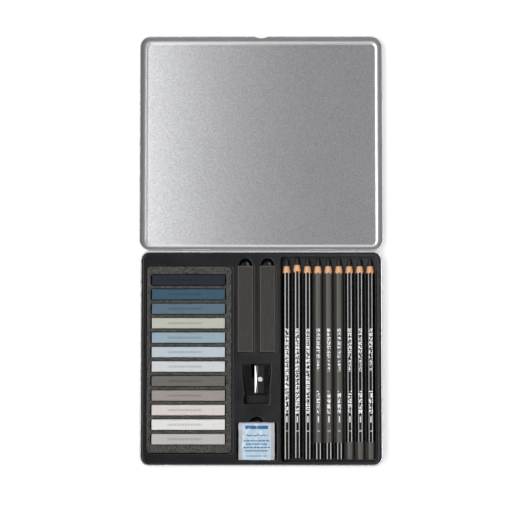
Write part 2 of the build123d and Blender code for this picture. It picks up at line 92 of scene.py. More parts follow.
# %% Lights
def softbox(name, bearing, angle, distance, across, along, radiance):
    """A rectangular soft light that faces the object's middle.

    It hangs at an angle from overhead, towards a bearing that is counted from the right. Its
    radiance is the brightness of its surface, and along is its side that lies level.
    """
    data = bpy.data.lights.new(name, "AREA")
    data.shape = "RECTANGLE"
    data.size = across
    data.size_y = along
    data.energy = radiance * math.pi * across * along
    light = bpy.data.objects.new(name, data)
    bpy.context.scene.collection.objects.link(light)
    tilt = math.radians(angle)
    turn = math.radians(bearing)
    out = distance * math.sin(tilt)
    light.location = (out * math.cos(turn), out * math.sin(turn), distance * math.cos(tilt))
    light.rotation_euler = (0.0, tilt, turn)
    return light


wide = {"angle": 44.0, "distance": 1.8, "across": 0.8, "along": 1.6}
softbox("left_softbox", 180.0, angle=24.5, distance=2.0, across=0.9, along=2.0, radiance=4.2)
softbox("right_softbox", 0.0, angle=26.0, distance=1.8, across=0.18, along=1.3, radiance=6.0)
softbox("front_softbox", -90.0, radiance=1.0, **wide)
softbox("back_softbox", 90.0, radiance=1.1, **wide)
print("softboxes", len(bpy.data.lights))

# %% Room
room_strength = 0.27
pale_below = 0.80
dark_above = 0.93
overhead_grey = 0.4
white = (1.0, 1.0, 1.0, 1.0)

world = bpy.data.worlds.new("studio")
bpy.context.scene.world = world
world.use_nodes = True
room = world.node_tree
background = room.nodes["Background"]
background.inputs["Strength"].default_value = room_strength
looking_at = room.nodes.new("ShaderNodeTexCoord")
height = room.nodes.new("ShaderNodeSeparateXYZ")
room_ramp = room.nodes.new("ShaderNodeValToRGB")
low_stop, high_stop = room_ramp.color_ramp.elements
low_stop.position = pale_below
low_stop.color = white
high_stop.position = dark_above
high_stop.color = (overhead_grey, overhead_grey, overhead_grey, 1.0)
room.links.new(looking_at.outputs["Generated"], height.inputs[0])
room.links.new(height.outputs["Z"], room_ramp.inputs["Fac"])
room.links.new(room_ramp.outputs["Color"], background.inputs["Color"])

backdrop = room.nodes.new("ShaderNodeBackground")
backdrop.inputs["Color"].default_value = white
sight = room.nodes.new("ShaderNodeLightPath")
by_ray = room.nodes.new("ShaderNodeMixShader")
room.links.new(sight.outputs["Is Camera Ray"], by_ray.inputs["Fac"])
room.links.new(background.outputs[0], by_ray.inputs[1])
room.links.new(backdrop.outputs[0], by_ray.inputs[2])
room.links.new(by_ray.outputs[0], room.nodes["World Output"].inputs["Surface"])
print("room nodes", len(room.nodes))

# %% [markdown]
# ## Writing a finish
# A shader is a small net of nodes. Sums on them are easier to read as Python, so one class wraps a
# socket and turns +, -, * and the rest into Math nodes. One method adds any other node.

# %% A class for shader sums
class Wire:
    """A value that a shader node gives."""

    def __init__(self, finish, socket):
        self.finish = finish
        self.socket = socket

    def __add__(self, other):
        return self.finish.maths("ADD", self, other)

    def __sub__(self, other):
        return self.finish.maths("SUBTRACT", self, other)

    def __rsub__(self, other):
        return self.finish.maths("SUBTRACT", other, self)

    def __mul__(self, other):
        return self.finish.maths("MULTIPLY", self, other)

    def __truediv__(self, other):
        return self.finish.maths("DIVIDE", self, other)

    def __gt__(self, other):
        return self.finish.maths("GREATER_THAN", self, other)

    def __lt__(self, other):
        return self.finish.maths("LESS_THAN", self, other)


class Finish:
    """A material, and the nodes that vary it."""

    def __init__(self, name, **constants):
        self.material = bpy.data.materials.new(name)
        self.material.use_nodes = True
        self.tree = self.material.node_tree
        self.shader = self.tree.nodes["Principled BSDF"]
        for socket, value in constants.items():
            self.set(socket.replace("_", " "), value)

    def node(self, kind, settings, sockets, output=0):
        """Any node: its settings are set first, then its sockets get values or wires."""
        made = self.tree.nodes.new("ShaderNode" + kind)
        for setting, value in settings.items():
            setattr(made, setting, value)
        for socket, value in sockets.items():
            self.join(made.inputs[socket], value)
        return Wire(self, made.outputs[output])

    def join(self, socket, value):
        """Feeds a socket with a wire, or sets it to a plain value."""
        if isinstance(value, Wire):
            self.tree.links.new(value.socket, socket)
        else:
            socket.default_value = value

    def set(self, socket, value):
        """A constant or a wire for one of the shader's own sockets."""
        self.join(self.shader.inputs[socket], value)

    def maths(self, operation, first, second=0.0):
        """A Math node; each input is a wire or a number."""
        return self.node("Math", {"operation": operation}, {0: first, 1: second})

    def place(self):
        """Where a point of the piece is, in metres."""
        return self.node("TexCoord", {}, {}, "Object")

    def axes(self):
        """The three coordinates of a point, in millimetres."""
        parts = self.node("SeparateXYZ", {}, {0: self.place()})
        split = parts.socket.node
        return [Wire(self, split.outputs[i]) * 1000.0 for i in range(3)]

    def upward(self):
        """1 where the surface faces straight up as the piece lies at rest, 0 where it stands."""
        normal = self.node("TexCoord", {}, {}, "Normal")
        return self.node("SeparateXYZ", {}, {0: normal}, "Z")

    def noise(self, size, detail=2.0, roughness=0.5, stretch=(1.0, 1.0, 1.0)):
        """Cloudy noise from 0 to 1, whose blobs are about size millimetres across."""
        where = self.node("Mapping", {}, {"Vector": self.place(), "Scale": stretch})
        scale = 1000.0 / size
        sockets = {"Vector": where, "Scale": scale, "Detail": detail, "Roughness": roughness}
        return self.node("TexNoise", {}, sockets)

    def between(self, value, low, high, first=0.0, last=1.0):
        """A smooth step from first to last as the value goes from low to high."""
        sockets = {"Value": value, 1: low, 2: high, 3: first, 4: last}
        return self.node("MapRange", {"interpolation_type": "SMOOTHSTEP"}, sockets)

    def mix(self, share, first, second):
        """A blend of two colours, from the first at share 0 to the second at share 1."""
        return self.node("Mix", {"data_type": "RGBA"}, {0: share, 6: first, 7: second}, 2)

    def bump(self, height, depth):
        """Small relief: the height from 0 to 1 stands for this many millimetres."""
        sockets = {"Height": height, "Distance": depth * millimetre, "Strength": 1.0}
        self.set("Normal", self.node("Bump", {}, sockets))


def colour(red, green, blue):
    """A colour as it looks on the screen, from 0 to 255, as the shader wants it."""
    linear = [
        v / 12.92 if v <= 0.04045 else ((v + 0.055) / 1.055) ** 2.4
        for v in (red / 255.0, green / 255.0, blue / 255.0)
    ]
    return (*linear, 1.0)


def shade(base, factor):
    """The same colour, lighter or darker."""
    return (*[min(1.0, v * factor) for v in base[:3]], 1.0)


def wear(node_name, finish):
    """Gives a CAD node its finish."""
    mesh = nodes[node_name].data
    mesh.materials.clear()
    mesh.materials.append(finish.material)


# %% [markdown]
# ## The floor
# The photograph has a white ground. The floor is a pale matt sheet that keeps the soft shadow, and
# a little of its own light in camera, mirror and see-through rays brings it up to white. More lamp
# light would do that too, but it would bleach the object.

# %% Floor
floor_side = 8.0
floor_glow = 0.35

bpy.ops.object.select_all(action="DESELECT")
bpy.ops.mesh.primitive_plane_add(size=floor_side, location=(0.0, 0.0, 0.0))
floor = bpy.context.object
floor.name = "floor"
paper = Finish("floor_paper", Base_Color=colour(238, 238, 238), Roughness=0.9)
rays = paper.node("LightPath", {}, {}).socket.node
seen = Wire(paper, rays.outputs["Is Camera Ray"])
for kind in ("Is Glossy Ray", "Is Transmission Ray"):
    seen = paper.maths("MAXIMUM", seen, Wire(paper, rays.outputs[kind]))
paper.set("Emission Color", white)
paper.set("Emission Strength", seen * floor_glow)
floor.data.materials.append(paper.material)
print("floor", floor_side, "m square")

# %% [markdown]
# ## The tin
# Both halves are pressed from silver tinplate with a satin coat. The flat panels keep a fine
# grain from rolling, while the rounded edges were stretched smooth. The grain is a small bump and
# a slight change of roughness, held to the places that face straight up or down, and a
# faint finger haze keeps the large panel of the lid from looking new.

# %% Tin
lid_hem_start_z = 8.2
satin_roughness = 0.265

silver = Finish("tin_silver", Metallic=1.0)
tin_z = silver.axes()[2]
flat_part = silver.between(silver.upward(), 0.985, 0.998)
bend_and_painted_shade = (1.0 - flat_part) * (tin_z < lid_hem_start_z)
grain = silver.noise(1.5, 3.0, 0.7)
speckle = silver.noise(0.7, 1.0, 0.5)
clouds = silver.noise(45.0, 2.0, 0.5)
smudges = silver.between(silver.noise(18.0, 4.0, 0.65), 0.55, 0.75)
grit = silver.between(grain * 0.4 + speckle * 0.6, 0.3, 0.7) * flat_part
plate = silver.mix(grit + smudges * 0.06, colour(222, 222, 224), colour(180, 181, 184))
# painted shade: the rounded bends below the hem are given a darker colour
silver.set("Base Color", silver.mix(bend_and_painted_shade * 0.15, plate, colour(140, 140, 142)))
uneven = clouds * 0.015 + speckle * flat_part * 0.04 + smudges * 0.015
silver.set("Roughness", uneven + bend_and_painted_shade * 0.08 + satin_roughness)
silver.bump(grain * flat_part * 0.02 + speckle * flat_part * 0.014, 1.0)
wear("tin_lid", silver)
wear("tin_base", silver)
print("tin finished")

# %% [markdown]
# ## The tray
# The tray is black sheet, formed hot over a mould. It has a faint orange peel and a satin gloss,
# and like most formed sheet it is not quite flat: it bows up towards its sides, so that it catches
# more light on the right. That bow and the peel are too slight for a mesh, so they are bump. Its
# rounded rims are painted paler as painted highlight, its deep pockets are painted blacker as
# painted shade, and dust shows as pale specks.

# %% Tray
pocket_bottom_z = 7.0
near_top_z = 11.5
lowest_x = -45.0
bow = 0.0005

black_sheet = Finish("black_tray", IOR=1.46)
peel = black_sheet.noise(1.6, 2.0, 0.5)
haze = black_sheet.noise(25.0, 3.0, 0.55)
dust = black_sheet.between(black_sheet.noise(0.5, 0.0, 0.5), 0.80, 0.84)
sheet_x, _, sheet_z = black_sheet.axes()
sheet_up = black_sheet.upward()
height_share_painted_shade = black_sheet.between(sheet_z, pocket_bottom_z, near_top_z)
rim_painted_highlight = black_sheet.between(sheet_up, 0.2, 0.45)
rim_painted_highlight = rim_painted_highlight * black_sheet.between(sheet_up, 0.85, 0.97, 1.0, 0.0)
# painted shade: the sheet is painted blacker low down in the deep pockets
sheet = black_sheet.mix(height_share_painted_shade, colour(4, 4, 6), colour(10, 10, 14))
# painted highlight: the rounded rims near the top are painted paler
sheet = black_sheet.mix(rim_painted_highlight * height_share_painted_shade * 0.3, sheet, colour(76, 76, 82))
sheet = black_sheet.mix(dust * 0.5 + haze * 0.06, sheet, colour(60, 60, 64))
black_sheet.set("Base Color", sheet)
black_sheet.set("Roughness", black_sheet.between(haze, 0.3, 0.7, 0.22, 0.27) + dust * 0.3)
from_lowest = sheet_x - lowest_x
black_sheet.bump(peel * 0.012 + from_lowest * from_lowest * bow, 1.0)
wear("tray", black_sheet)
print("tray finished")

# %% [markdown]
# ## Helpers for new pieces
# Operators act on what is selected, so each helper first selects one piece alone. Modifiers are
# applied at once, and a finished piece gets its place put into its mesh, as a CAD node has.

# %% Helpers
def alone(piece):
    """Selects one piece and nothing else."""
    bpy.ops.object.select_all(action="DESELECT")
    piece.select_set(True)
    bpy.context.view_layer.objects.active = piece


def modify(piece, kind, **settings):
    """Adds a modifier and applies it."""
    alone(piece)
    modifier = piece.modifiers.new(kind.lower(), kind)
    for setting, value in settings.items():
        setattr(modifier, setting, value)
    bpy.ops.object.modifier_apply(modifier=modifier.name)


def settle(piece, name, body, slot, *stands_for):
    """Puts a finished piece's place into its mesh, and ties it to its body. The slot argument is
    not used.
    """
    alone(piece)
    bpy.ops.object.transform_apply(location=True, rotation=True, scale=True)
    piece.name = name
    piece.data.name = name
    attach(piece, body)
    if stands_for:
        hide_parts(*stands_for)
    print(name, len(piece.data.polygons), "faces")


def merged_copy(node_name):
    """A new piece that starts as a CAD node's mesh with its doubles merged."""
    piece = bpy.data.objects.new(node_name + "_copy", nodes[node_name].data.copy())
    bpy.context.scene.collection.objects.link(piece)
    piece.data.materials.clear()
    alone(piece)
    bpy.ops.object.mode_set(mode="EDIT")
    bpy.ops.mesh.select_all(action="SELECT")
    bpy.ops.mesh.remove_doubles(threshold=0.000005)
    bpy.ops.object.mode_set(mode="OBJECT")
    return piece


def relief(name, kind, size, **settings):
    """A noise texture that a Displace modifier reads; size is in millimetres."""
    texture = bpy.data.textures.new(name, kind)
    texture.noise_scale = size * millimetre
    for setting, value in settings.items():
        setattr(texture, setting, value)
    return texture


# %% [markdown]
# ## The foam pad
# The sticks lie in a pad of open-cell foam, cut with twelve slots. Foam has no sharp edge, and its
# cut faces are slightly uneven. A bevel would give true rounds but no unevenness. A remesh of the
# CAD solid rounds every edge a little and gives enough points for both. The cells themselves are
# too small for a mesh, so they are bump and colour.

# %% Foam pad
pad = merged_copy("foam_insert")
modify(pad, "REMESH", mode="VOXEL", voxel_size=0.9 * millimetre)
modify(pad, "SMOOTH", factor=0.5, iterations=1)
uneven = relief("foam_unevenness", "CLOUDS", 3.5, noise_depth=2)
modify(pad, "DISPLACE", texture=uneven, strength=-0.35 * millimetre, mid_level=0.25)
bpy.ops.object.shade_smooth()

foam = Finish("grey_foam", Roughness=0.95)
cells = foam.noise(0.8, 2.0, 0.65)
tufts = foam.noise(2.2, 3.0, 0.6)
cell_mask = foam.between(cells * 0.85 + tufts * 0.15, 0.38, 0.62)
foam.set("Base Color", foam.mix(cell_mask, colour(26, 26, 25), colour(98, 96, 92)))
foam.bump(cells * 0.7 + tufts * 0.3, 0.35)
pad.data.materials.append(foam.material)
settle(pad, "foam_pad", "tray", "grey_foam", "foam_insert")

# %% [markdown]
# ## The pastel sticks
# A stick is pressed chalk, 64 mm long and square. Its edges crumble first, and its faces are
# powdery. One stick is modelled as a cube with many cuts, its edges bevelled, and then copied. It
# is a hair smaller than the CAD stick, so that it lies free of the tray.
# Every copy gets its own crumbled edges from a seeded draw, its own plain number near the right
# end, and a row of plain pressed dashes in the middle. The number is a thin mesh, because its
# strokes have to be clean, and the dashes are bump and painted shade. Both are painted darker
# than the stick as painted shade, for a pressed look.

# %% Numbers
def number_piece(text, size, centre, turn, depth):
    """Digits as a mesh, flat on a face that looks up."""
    bpy.ops.object.select_all(action="DESELECT")
    bpy.ops.object.text_add(location=centre, rotation=(0.0, 0.0, turn))
    digits = bpy.context.object
    digits.data.body = text
    digits.data.size = size * millimetre
    digits.data.align_x = "CENTER"
    digits.data.align_y = "CENTER"
    digits.data.extrude = depth * millimetre
    digits.data.resolution_u = 3
    alone(digits)
    bpy.ops.object.convert(target="MESH")
    digits = bpy.context.object
    alone(digits)
    bpy.ops.object.transform_apply(location=True, rotation=True, scale=True)
    return digits


def joined(main, extra):
    """Joins one piece into another and returns the whole."""
    bpy.ops.object.select_all(action="DESELECT")
    extra.select_set(True)
    main.select_set(True)
    bpy.context.view_layer.objects.active = main
    bpy.ops.object.join()
    return main


# %% One stick
stick_clearance = 0.04
chamfer = 0.35

stick_low, stick_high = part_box("pastel_01")
stick_size = [high - low for low, high in zip(stick_low, stick_high)]
bpy.ops.object.select_all(action="DESELECT")
bpy.ops.mesh.primitive_cube_add(size=1.0, location=(0.0, 0.0, 0.0))
first_stick = bpy.context.object
first_stick.scale = [side - stick_clearance * millimetre for side in stick_size]
bpy.ops.object.transform_apply(location=False, rotation=False, scale=True)
bpy.ops.object.mode_set(mode="EDIT")
bpy.ops.mesh.select_all(action="SELECT")
for cuts in (5, 2):
    bpy.ops.mesh.subdivide(number_cuts=cuts)
bpy.ops.object.mode_set(mode="OBJECT")
chamfered = {"segments": 2, "limit_method": "ANGLE", "angle_limit": 0.7}
modify(first_stick, "BEVEL", width=chamfer * millimetre, **chamfered)
stick_mesh = first_stick.data
print("stick", [round(side / millimetre, 1) for side in stick_size], "mm")

# %% Twelve sticks
pastel_finishes = [
    ("dark_navy", (35, 42, 54)),
    ("teal_blue", (62, 96, 112)),
    ("slate_blue", (100, 122, 140)),
    ("pale_cream", (205, 207, 195)),
    ("light_blue", (165, 187, 200)),
    ("pale_blue", (205, 218, 224)),
    ("cool_white", (226, 229, 232)),
    ("mid_grey", (118, 116, 112)),
    ("taupe", (170, 162, 158)),
    ("pale_pink", (235, 226, 222)),
    ("white", (246, 245, 243)),
    ("warm_grey", (205, 203, 199)),
]
draw = random.Random(41)
half_size = [side / 2 for side in stick_size]
crumble_reach = 0.6 * millimetre
deepest_crumb = 0.5 * millimetre

dashes_per_millimetre = 0.42
dashes_start = 14.0
dashes_end = 44.0
middle_along = 32.0
side_ratio = 7.0
border_width = 1.0
number_along = 54.0
number_height = 3.0


def crumble(mesh):
    """Moves points near the edges of a stick inwards, each by its own small amount."""
    for vertex in mesh.vertices:
        gaps = [half - abs(place) for half, place in zip(half_size, vertex.co)]
        near = [gap < crumble_reach for gap in gaps]
        if sum(near) >= 2:
            depth = draw.random() ** 4 * deepest_crumb
            for axis in range(3):
                if near[axis]:
                    vertex.co[axis] -= math.copysign(depth, vertex.co[axis])


def chalk_finish(number, base, middle_y, left_x):
    """Powdery chalk with a row of pressed dashes along its middle."""
    chalk = Finish(f"pastel_{number:02d}_chalk", Roughness=0.95)
    x, y, _ = chalk.axes()
    powder = chalk.noise(0.5, 3.0, 0.7)
    blotches = chalk.noise(7.0, 3.0, 0.6)
    along = x - left_x
    step = chalk.maths("FRACT", along * dashes_per_millimetre)
    dash = (step > 0.3) * (along > dashes_start) * (along < dashes_end) * (chalk.upward() > 0.9)
    across = chalk.maths("ABSOLUTE", y - middle_y)
    pressed_dent_and_painted_shade = dash * chalk.between(across, 0.75, 0.95, 1.0, 0.0)
    from_middle = chalk.maths("ABSOLUTE", along - middle_along)
    side_or_end = chalk.maths("MAXIMUM", across * side_ratio, from_middle)
    border = chalk.between(side_or_end, middle_along - border_width, middle_along)
    tone = chalk.mix(powder * 0.5 + blotches * 0.3, shade(base, 0.92), shade(base, 0.72))
    tone = chalk.mix(border * 0.3, tone, shade(base, 1.1))
    # painted shade: the pressed dashes are painted darker than the stick
    chalk.set("Base Color", chalk.mix(pressed_dent_and_painted_shade * 0.75, tone, shade(base, 0.5)))
    chalk.bump(powder * 0.06 + blotches * 0.05 - pressed_dent_and_painted_shade * 0.12, 1.0)
    return chalk


for number, (tint, screen_colour) in enumerate(pastel_finishes, 1):
    body = f"pastel_{number:02d}"
    low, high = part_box(body)
    middle = [(a + b) / 2 for a, b in zip(low, high)]
    stick = bpy.data.objects.new("stick", stick_mesh.copy())
    bpy.context.scene.collection.objects.link(stick)
    crumble(stick.data)
    stick.location = middle
    alone(stick)
    bpy.ops.object.transform_apply(location=True, rotation=False, scale=False)
    bpy.ops.object.shade_smooth_by_angle(angle=0.6)
    base = colour(*screen_colour)
    chalk = chalk_finish(number, base, middle[1] / millimetre, low[0] / millimetre)
    stick.data.materials.append(chalk.material)
    mark_place = (low[0] + number_along * millimetre, middle[1], high[2])
    digits = number_piece(str(number), number_height, mark_place, turn=0.0, depth=0.02)
    painted_shade_number = Finish(body + "_number", Roughness=0.95)
    # painted shade: the number is painted darker than the stick, for a pressed look
    painted_shade_number.set("Base Color", painted_shade_number.mix(painted_shade_number.noise(0.4, 2.0, 0.6), shade(base, 0.55), shade(base, 0.8)))
    digits.data.materials.append(painted_shade_number.material)
    stick = joined(stick, digits)
    settle(stick, f"chalk_stick_{number:02d}", body, "pastel_" + tint, body)
bpy.data.objects.remove(first_stick)

# %% [markdown]
# ## The charcoal blocks
# Pressed charcoal is a warm black-brown, grainy and a little glossy where it was rubbed. The CAD
# blocks have the right shape, so only the finish is added. The grain runs along the block, and its
# colour is paler towards the edges, by a mask on the distance from the block's sides.

# %% Charcoal
def rim_of(finish, node_name, reach):
    """1 within reach millimetres of the sides of a node's box as seen from above, 0 inside."""
    low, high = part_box(node_name)
    x, y, _ = finish.axes()
    masks = []
    for axis, value in ((0, x), (1, y)):
        middle = (low[axis] + high[axis]) / 2 / millimetre
        half = (high[axis] - low[axis]) / 2 / millimetre
        away = finish.maths("ABSOLUTE", value - middle)
        masks.append(finish.between(away, half - reach, half - 0.3 * reach))
    return finish.maths("MAXIMUM", masks[0], masks[1])


for node_name in ("charcoal_block_left", "charcoal_block_right"):
    charcoal = Finish(node_name + "_finish")
    grit = charcoal.noise(0.6, 3.0, 0.7)
    streaks = charcoal.noise(1.4, 3.0, 0.6, stretch=(1.0, 0.12, 1.0))
    pores = charcoal.between(charcoal.noise(1.0, 1.0, 0.5), 0.66, 0.72)
    # the colour is made paler towards the block's edges
    paler_edges = rim_of(charcoal, node_name, 0.9)
    tone = charcoal.mix(streaks * 0.6 + grit * 0.4, colour(38, 34, 32), colour(66, 60, 56))
    tone = charcoal.mix(pores * 0.6, tone, colour(24, 22, 21))
    charcoal.set("Base Color", charcoal.mix(paler_edges * (grit * 0.5 + 0.3), tone, colour(128, 122, 116)))
    charcoal.set("Roughness", charcoal.between(streaks, 0.3, 0.7, 0.62, 0.85))
    charcoal.bump(grit * 0.06 + streaks * 0.05 - pores * 0.1, 1.0)
    wear(node_name, charcoal)
print("charcoal finished")

# %% [markdown]
# ## The pencils
# A casing is one piece of wood under lacquer, so masks tell its parts apart. Where the sharpener
# cut the lacquer away, cedar shows. The first three pencils are gloss black. The middle three are
# a dull grey-brown with a gloss black end, and the last three the other way round. White foil
# marks lie on the top face: a row of plain blocks, a dash and a plain number. The blocks and the
# dash are far too thin to model, and the number is a mesh with clean strokes.

# %% Marks and wood
pencil_pitch = 9.17
middle_pencil_x = 59.0
pencil_axis_z = 8.0
cone_start_y = -14.947
cone_start_radius = 2.5
cone_slope = 0.1763
cone_end_y = -26.0
raised_pencil = 2
raised_by = 1.2
column_width = 0.8


def pencil_parts(finish):
    """Where a point is along, above and across its pencil, and that pencil's number."""
    x, y, z = finish.axes()
    turns = (x - middle_pencil_x) / pencil_pitch + 5.5
    across = (finish.maths("FRACT", turns) - 0.5) * pencil_pitch
    which = finish.maths("FLOOR", turns)
    return y, z, across, which


def foil(finish, y, across, which, groups):
    """White foil on the top face: small blocks, some left out by chance, in groups along y.

    A group is (start, end, block length, half width), and a block length of 0 is a solid dash.
    """
    away = finish.maths("ABSOLUTE", across)
    total = None
    for start, end, block, half_width in groups:
        mark = (away < half_width) * (y < start) * (y > end)
        if block:
            row = finish.maths("FLOOR", y / block)
            column = finish.maths("FLOOR", (across + 2.0) / column_width)
            seed = row * 7.0 + column + which * 571.0
            luck = finish.node("TexWhiteNoise", {"noise_dimensions": "1D"}, {"W": seed})
            letter = finish.maths("FRACT", y / (block * 4.0))
            mark = mark * (luck > 0.38) * (letter < 0.8)
        total = mark if total is None else finish.maths("MAXIMUM", total, mark)
    return total * (finish.upward() > 0.9)


def cut_wood(finish, y, z, across, which):
    """The mask of the bare cone and the colour of its cedar.

    The cutter leaves a cone, so wood shows wherever the surface reaches the cone's radius.
    """
    pushed = (which > raised_pencil - 0.5) * (which < raised_pencil + 0.5) * raised_by
    cone_radius = (cone_start_y - y + pushed) * cone_slope + cone_start_radius
    height = z - pencil_axis_z
    radius = finish.maths("SQRT", across * across + height * height)
    bare = finish.between(radius - cone_radius, -0.07, -0.02) * (y > cone_end_y)
    fibres = finish.noise(0.5, 3.0, 0.6, stretch=(1.0, 0.06, 1.0))
    cedar = finish.mix(fibres, colour(252, 200, 152), colour(214, 146, 96))
    return bare, cedar, fibres


# %% Casings
def casing_finish(name, grey_start, grey_end, groups):
    """One kind of casing: dull grey between two values of y, gloss black elsewhere."""
    casing = Finish(name, IOR=1.7, Coat_Roughness=0.05, Coat_IOR=1.6)
    y, z, across, which = pencil_parts(casing)
    bare, cedar, fibres = cut_wood(casing, y, z, across, which)
    grey = (y < grey_start) * (y > grey_end)
    marks = foil(casing, y, across, which, groups)
    runs = casing.noise(1.2, 3.0, 0.6, stretch=(1.0, 0.08, 1.0))
    grit = casing.noise(0.35, 2.0, 0.6)
    dull = casing.mix(runs * 0.6 + grit * 0.4, colour(54, 51, 47), colour(82, 77, 71))
    black = casing.mix(runs, colour(5, 5, 6), colour(9, 9, 11))
    paint = casing.mix(grey, black, dull)
    paint = casing.mix(marks, paint, colour(236, 236, 236))
    casing.set("Base Color", casing.mix(bare, paint, cedar))
    matt = casing.maths("MAXIMUM", bare, grey)
    casing.set("Roughness", matt * 0.42 + 0.09 + marks * 0.2)
    casing.set("Coat Weight", casing.maths("MAXIMUM", 1.0 - matt * 1.3, 0.0) - marks * 0.2)
    casing.bump(fibres * bare * 0.04 + grit * grey * 0.02 + runs * 0.004, 1.0)
    return casing


marks_start = -69.5
marks_end = -143.5
dash_mark = (-145.8, -151.2, 0, 0.55)
long_marks = [(marks_start, marks_end, 0.95, 1.55), dash_mark]
split_marks = [
    (marks_start, -96.0, 0.95, 1.55),
    (-97.0, -107.0, 0.8, 1.0),
    (-123.8, marks_end, 1.2, 1.55),
    dash_mark,
]
tip_y = 0.0
beyond_end_y = -200.0
black_casing = casing_finish("lacquer_black", tip_y, tip_y, long_marks)
grey_casing = casing_finish("lacquer_grey_black_end", tip_y, -168.9, split_marks)
dipped_casing = casing_finish("lacquer_black_grey_end", -168.3, beyond_end_y, split_marks)

core = Finish("pencil_core")
core_streaks = core.noise(0.5, 3.0, 0.6, stretch=(1.0, 0.1, 1.0))
core.set("Base Color", core.mix(core_streaks, colour(16, 15, 16), colour(38, 37, 38)))
core.set("Roughness", core.between(core_streaks, 0.3, 0.7, 0.4, 0.62))
core.bump(core_streaks, 0.02)

foil_white = Finish("foil_white", Roughness=0.35)
flecks = foil_white.noise(0.4, 2.0, 0.5)
foil_white.set("Base Color", foil_white.mix(flecks, colour(242, 242, 242), colour(214, 214, 214)))
print("pencil finishes made")

# %% [markdown]
# Lacquer swells the six flats of a pencil a little, and the swollen flats catch the lights as two
# bright lines. The CAD casing has true flats, so one casing is modelled again: a cylinder with
# many cuts, whose points are moved in or out to the swollen hexagon or, near the tip, to the
# cutter's cone. Its back end gets a rim and a bore. It is then copied to the nine places.

# %% One casing
first_low, first_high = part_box("pencil_1_casing")
axis_x = (first_low[0] + first_high[0]) / 2 / millimetre
casing_back = first_low[1] / millimetre
casing_front = first_high[1] / millimetre
flat_distance = 3.4
flat_swell = 8.0
lead_radius = 2.5
outer_radius = 4.0
rim_depth = 0.25
rim_step = 0.15
bore_depth = 1.2
back_reach = casing_back + 0.1


def hexagon_radius(angle):
    """How far the swollen hexagon is from its axis, in a direction; a flat faces straight up."""
    off_flat = math.radians((math.degrees(angle) - 60.0) % 60.0 - 30.0)
    centre = flat_distance - flat_swell
    inside = flat_swell ** 2 - (centre * math.sin(off_flat)) ** 2
    return centre * math.cos(off_flat) + math.sqrt(inside)


bpy.ops.object.select_all(action="DESELECT")
bpy.ops.mesh.primitive_cylinder_add(
    vertices=72, radius=outer_radius * millimetre, depth=(casing_front - casing_back) * millimetre,
    end_fill_type="NOTHING", location=(0.0, (casing_front + casing_back) / 2 * millimetre, 0.0),
    rotation=(math.radians(90.0), 0.0, 0.0),
)
first_casing = bpy.context.object
bpy.ops.object.transform_apply(location=True, rotation=True, scale=True)
bpy.ops.object.mode_set(mode="EDIT")
tip_cuts = [-24.0 + 0.4 * step for step in range(12)]
for cut in [casing_back + rim_depth, -120.0, -60.0, cone_end_y, *tip_cuts, -17.0]:
    bpy.ops.mesh.select_all(action="SELECT")
    bpy.ops.mesh.bisect(plane_co=(0.0, cut * millimetre, 0.0), plane_no=(0.0, 1.0, 0.0))
bpy.ops.object.mode_set(mode="OBJECT")
for point in first_casing.data.vertices:
    along = point.co.y / millimetre
    angle = math.atan2(point.co.z, point.co.x)
    cone_radius = cone_start_radius + (cone_start_y - along) * cone_slope
    radius = min(hexagon_radius(angle), cone_radius)
    if along < back_reach:
        radius -= rim_step
    point.co.x = (axis_x + radius * math.cos(angle)) * millimetre
    point.co.z = (pencil_axis_z + radius * math.sin(angle)) * millimetre
bpy.ops.object.mode_set(mode="EDIT")
bpy.ops.mesh.select_mode(type="VERT")
bpy.ops.mesh.select_all(action="DESELECT")
bpy.ops.object.mode_set(mode="OBJECT")
for point in first_casing.data.vertices:
    point.select = point.co.y / millimetre < back_reach
bpy.ops.object.mode_set(mode="EDIT")
bore_share = lead_radius / flat_distance
bore_centre = (axis_x * millimetre, casing_back * millimetre, pencil_axis_z * millimetre)
bpy.ops.mesh.extrude_edges_move()
bpy.ops.transform.resize(value=(bore_share, 1.0, bore_share), center_override=bore_centre)
inwards = (0.0, bore_depth * millimetre, 0.0)
bpy.ops.mesh.extrude_edges_move(TRANSFORM_OT_translate={"value": inwards})
bpy.ops.mesh.select_all(action="SELECT")
bpy.ops.mesh.normals_make_consistent(inside=False)
bpy.ops.object.mode_set(mode="OBJECT")
print("casing", len(first_casing.data.polygons), "faces")

# %% Nine pencils
digit_y = -158.6
digit_z = 11.4
digit_height = 3.4
kinds_of_three = [
    ("lacquer_black", black_casing),
    ("lacquer_grey_black_end", grey_casing),
    ("lacquer_black_grey_end", dipped_casing),
]

for number in range(1, 10):
    slot, paint = kinds_of_three[(number - 1) // 3]
    body = f"pencil_{number}"
    low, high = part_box(body + "_casing")
    casing = bpy.data.objects.new("casing", first_casing.data.copy())
    bpy.context.scene.collection.objects.link(casing)
    casing.location = [there - here for there, here in zip(high, first_high)]
    casing.data.materials.append(paint.material)
    alone(casing)
    bpy.ops.object.transform_apply(location=True, rotation=False, scale=False)
    bpy.ops.object.shade_smooth_by_angle(angle=0.5)
    settle(casing, body + "_lacquered", body, slot, body + "_casing")
    wear(body + "_lead", core)
    place = ((low[0] + high[0]) / 2, digit_y * millimetre, digit_z * millimetre)
    quarter_turn = math.radians(-90.0)
    digit = number_piece(str(number), digit_height, place, turn=quarter_turn, depth=0.015)
    digit.data.materials.append(foil_white.material)
    settle(digit, body + "_number", body, slot)
bpy.data.objects.remove(first_casing)
print("pencils finished")

# %% [markdown]
# ## The sharpener
# The body is a moulded black plastic with a fine satin skin. The blade is ground steel that mirrors
# the dark room, apart from a strip beside the opening, honed to a slight curve, that catches the
# left light. Beyond that strip the blade's colour is painted dark, as a painted reflection of the
# dark room. The screw is turned steel. The CAD shapes are right, so masks place the strip, that
# painted dark reflection, and a painted highlight on the rim of the body.

